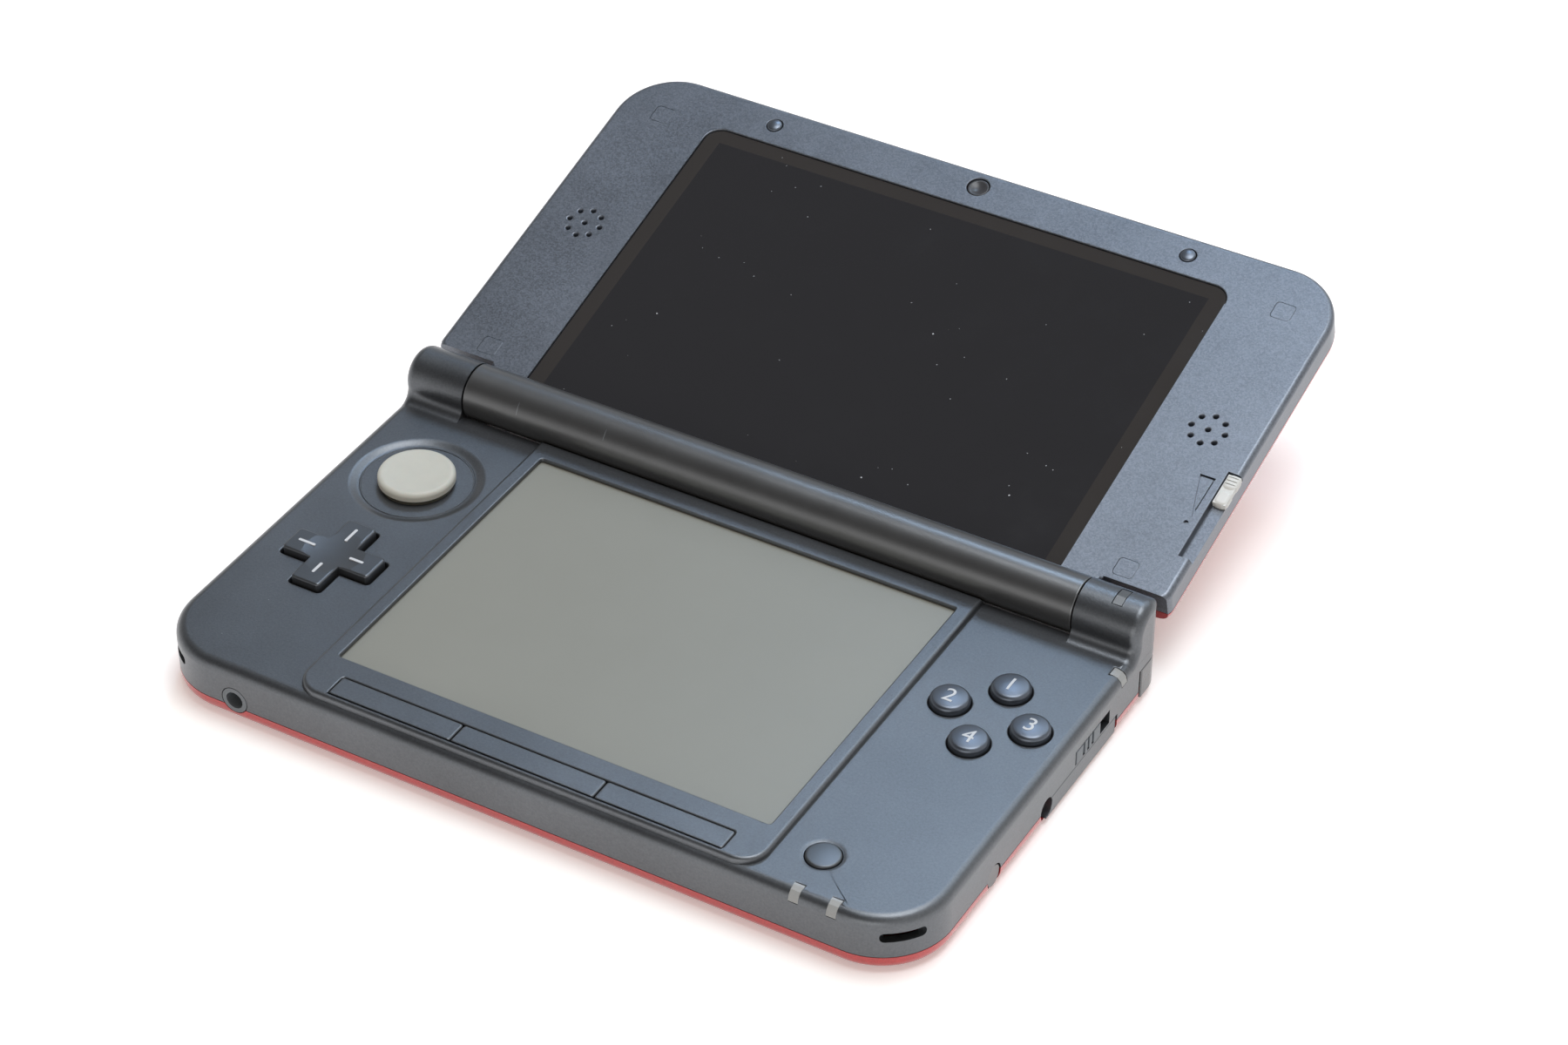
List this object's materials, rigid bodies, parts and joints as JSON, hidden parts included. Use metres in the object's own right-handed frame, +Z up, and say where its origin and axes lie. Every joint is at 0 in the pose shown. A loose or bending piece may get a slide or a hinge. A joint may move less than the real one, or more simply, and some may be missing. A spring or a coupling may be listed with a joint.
{
  "type": "clamshell handheld game console",
  "caption": "Clamshell handheld game console with a friction-hinged lid, upper screen, touch screen, circle pad, cross key, buttons, slide switches, stylus and card door.",
  "frame": {"origin": "centre of the underside of the base, on the table", "axes": "+X to the player's right, +Y from the player to the hinge, +Z up out of the lower screen"},
  "size_m": [0.1568, 0.1733, 0.0379],
  "materials": {
    "deck_plastic": "satin blue-black moulded plastic with a very fine grain",
    "red_cover": "metallic red coat under a clear gloss",
    "bezel_plastic": "satin blue-grey coat with a fine sparkle",
    "inner_plastic": "plain black moulded plastic",
    "button_plastic": "smooth black plastic",
    "switch_plastic": "grey moulded plastic with ribs",
    "pad_rubber": "soft pale grey rubber",
    "key_rubber": "grey silicone rubber",
    "slider_plastic": "pale grey plastic",
    "stylus_plastic": "black plastic",
    "touch_glass": "dull grey-green film over glass",
    "upper_glass": "near-black glass",
    "display_metal": "pressed backing of a display module",
    "board": "green laminate with solder mask",
    "battery_case": "wrapped battery cell",
    "connector_plastic": "black connector plastic",
    "socket_metal": "pressed bright sheet",
    "card_plastic": "dark blue card",
    "infrared_plastic": "dark red-black filter",
    "pipe_plastic": "cloudy clear plastic",
    "hinge_steel": "plain steel",
    "lens": "black lens",
    "flex_film": "amber flexible film"
  },
  "bodies": {
    "base": {"base_deck": "deck_plastic", "base_bottom_cover": "red_cover", "base_tray": "inner_plastic", "touch_panel": "touch_glass", "lower_display": "display_metal", "main_board": "board", "battery": "battery_case", "headphone_jack": "connector_plastic", "game_card_socket": "connector_plastic", "memory_card_socket": "socket_metal", "memory_card": "card_plastic", "power_inlet": "connector_plastic", "infrared_window": "infrared_plastic", "light_pipe_power": "pipe_plastic", "light_pipe_charge": "pipe_plastic", "light_pipe_wireless": "pipe_plastic", "light_pipe_notice": "pipe_plastic", "hinge_clutch": "hinge_steel", "hinge_bush": "hinge_steel", "cover_screw_left": "hinge_steel", "cover_screw_right": "hinge_steel", "face_button_membrane": "key_rubber", "menu_button_membrane": "key_rubber", "cross_key_membrane": "key_rubber", "circle_pad_housing": "inner_plastic"},
    "lid": {"lid_bezel": "bezel_plastic", "lid_outer_cover": "red_cover", "upper_glass": "upper_glass", "upper_display": "display_metal", "speaker_left": "inner_plastic", "speaker_right": "inner_plastic", "outer_camera_left": "lens", "outer_camera_right": "lens", "inner_camera": "lens", "lid_bumper_left": "button_plastic", "lid_bumper_right": "button_plastic", "screw_cover_near_left": "bezel_plastic", "screw_cover_near_right": "bezel_plastic", "screw_cover_far_left": "bezel_plastic", "screw_cover_far_right": "bezel_plastic", "ribbon_cable": "flex_film"},
    "pad_carriage": {"circle_pad_carriage": "inner_plastic"},
    "pad_cap": {"circle_pad": "pad_rubber"},
    "cross_pivot": {"cross_key_pivot": "key_rubber"},
    "cross": {"cross_key": "button_plastic"},
    "face_button_rear": {"face_button_rear": "button_plastic"},
    "face_button_left": {"face_button_left": "button_plastic"},
    "face_button_right": {"face_button_right": "button_plastic"},
    "face_button_front": {"face_button_front": "button_plastic"},
    "power_button": {"power_button": "button_plastic"},
    "select_button": {"select_button": "deck_plastic"},
    "home_button": {"home_button": "deck_plastic"},
    "start_button": {"start_button": "deck_plastic"},
    "shoulder_button_left": {"shoulder_button_left": "button_plastic"},
    "shoulder_button_right": {"shoulder_button_right": "button_plastic"},
    "volume_slider": {"volume_slider": "switch_plastic"},
    "wireless_switch": {"wireless_switch": "switch_plastic"},
    "stylus": {"stylus": "stylus_plastic"},
    "memory_card_door": {"memory_card_door": "deck_plastic"},
    "depth_slider": {"depth_slider": "slider_plastic"}
  },
  "joints": [
    {"name": "lid_hinge", "type": "hinge", "parent": "base", "child": "lid", "pos_m": [0, 0.0411, 0.01542], "axis": [1, 0, 0], "range_deg": [0, 165.32]},
    {"name": "depth_slide", "type": "slide", "parent": "lid", "child": "depth_slider", "axis": [0, 0.9674, 0.2534], "range_m": [-0.013, 0]},
    {"name": "pad_sideways", "type": "slide", "parent": "base", "child": "pad_carriage", "axis": [1, 0, 0], "range_m": [-0.0024, 0.0024], "stiffness_N_per_m": 100},
    {"name": "pad_forwards", "type": "slide", "parent": "pad_carriage", "child": "pad_cap", "axis": [0, 1, 0], "range_m": [-0.0024, 0.0024], "stiffness_N_per_m": 100},
    {"name": "cross_rock_forwards", "type": "hinge", "parent": "base", "child": "cross_pivot", "pos_m": [-0.0615, -0.0114, 0.0095], "axis": [1, 0, 0], "range_deg": [-3, 3], "stiffness_Nm_per_rad": 0.02},
    {"name": "cross_rock_sideways", "type": "hinge", "parent": "cross_pivot", "child": "cross", "pos_m": [-0.0615, -0.0114, 0.0095], "axis": [0, 1, 0], "range_deg": [-3, 3], "stiffness_Nm_per_rad": 0.02},
    {"name": "press_face_rear", "type": "slide", "parent": "base", "child": "face_button_rear", "axis": [0, 0, 1], "range_m": [-0.0008, 0], "stiffness_N_per_m": 250, "springref_m": 0.0008},
    {"name": "press_face_left", "type": "slide", "parent": "base", "child": "face_button_left", "axis": [0, 0, 1], "range_m": [-0.0008, 0], "stiffness_N_per_m": 250, "springref_m": 0.0008},
    {"name": "press_face_right", "type": "slide", "parent": "base", "child": "face_button_right", "axis": [0, 0, 1], "range_m": [-0.0008, 0], "stiffness_N_per_m": 250, "springref_m": 0.0008},
    {"name": "press_face_front", "type": "slide", "parent": "base", "child": "face_button_front", "axis": [0, 0, 1], "range_m": [-0.0008, 0], "stiffness_N_per_m": 250, "springref_m": 0.0008},
    {"name": "press_power", "type": "slide", "parent": "base", "child": "power_button", "axis": [0, 0, 1], "range_m": [-0.0004, 0], "stiffness_N_per_m": 400, "springref_m": 0.0006},
    {"name": "press_select", "type": "slide", "parent": "base", "child": "select_button", "axis": [0, 0, 1], "range_m": [-0.0004, 0], "stiffness_N_per_m": 400, "springref_m": 0.0006},
    {"name": "press_home", "type": "slide", "parent": "base", "child": "home_button", "axis": [0, 0, 1], "range_m": [-0.0004, 0], "stiffness_N_per_m": 400, "springref_m": 0.0006},
    {"name": "press_start", "type": "slide", "parent": "base", "child": "start_button", "axis": [0, 0, 1], "range_m": [-0.0004, 0], "stiffness_N_per_m": 400, "springref_m": 0.0006},
    {"name": "press_shoulder_right", "type": "hinge", "parent": "base", "child": "shoulder_button_right", "pos_m": [0.0569, 0.043, 0.005], "axis": [0, 0, 1], "range_deg": [-2.2, 0], "stiffness_Nm_per_rad": 0.03, "springref_deg": 6.88},
    {"name": "press_shoulder_left", "type": "hinge", "parent": "base", "child": "shoulder_button_left", "pos_m": [-0.0569, 0.043, 0.005], "axis": [0, 0, 1], "range_deg": [0, 2.2], "stiffness_Nm_per_rad": 0.03, "springref_deg": -6.88},
    {"name": "volume_slide", "type": "slide", "parent": "base", "child": "volume_slider", "axis": [0, 1, 0], "range_m": [-0.0042, 0.0042]},
    {"name": "wireless_slide", "type": "slide", "parent": "base", "child": "wireless_switch", "axis": [0, 1, 0], "range_m": [0, 0.0034], "stiffness_N_per_m": 100, "springref_m": -0.002},
    {"name": "stylus_slide", "type": "slide", "parent": "base", "child": "stylus", "axis": [1, 0, 0], "range_m": [0, 0.1]},
    {"name": "card_door_hinge", "type": "hinge", "parent": "base", "child": "memory_card_door", "pos_m": [0.0773, 0.0278, 0.003], "axis": [0, 0, 1], "range_deg": [0, 95]}
  ]
}
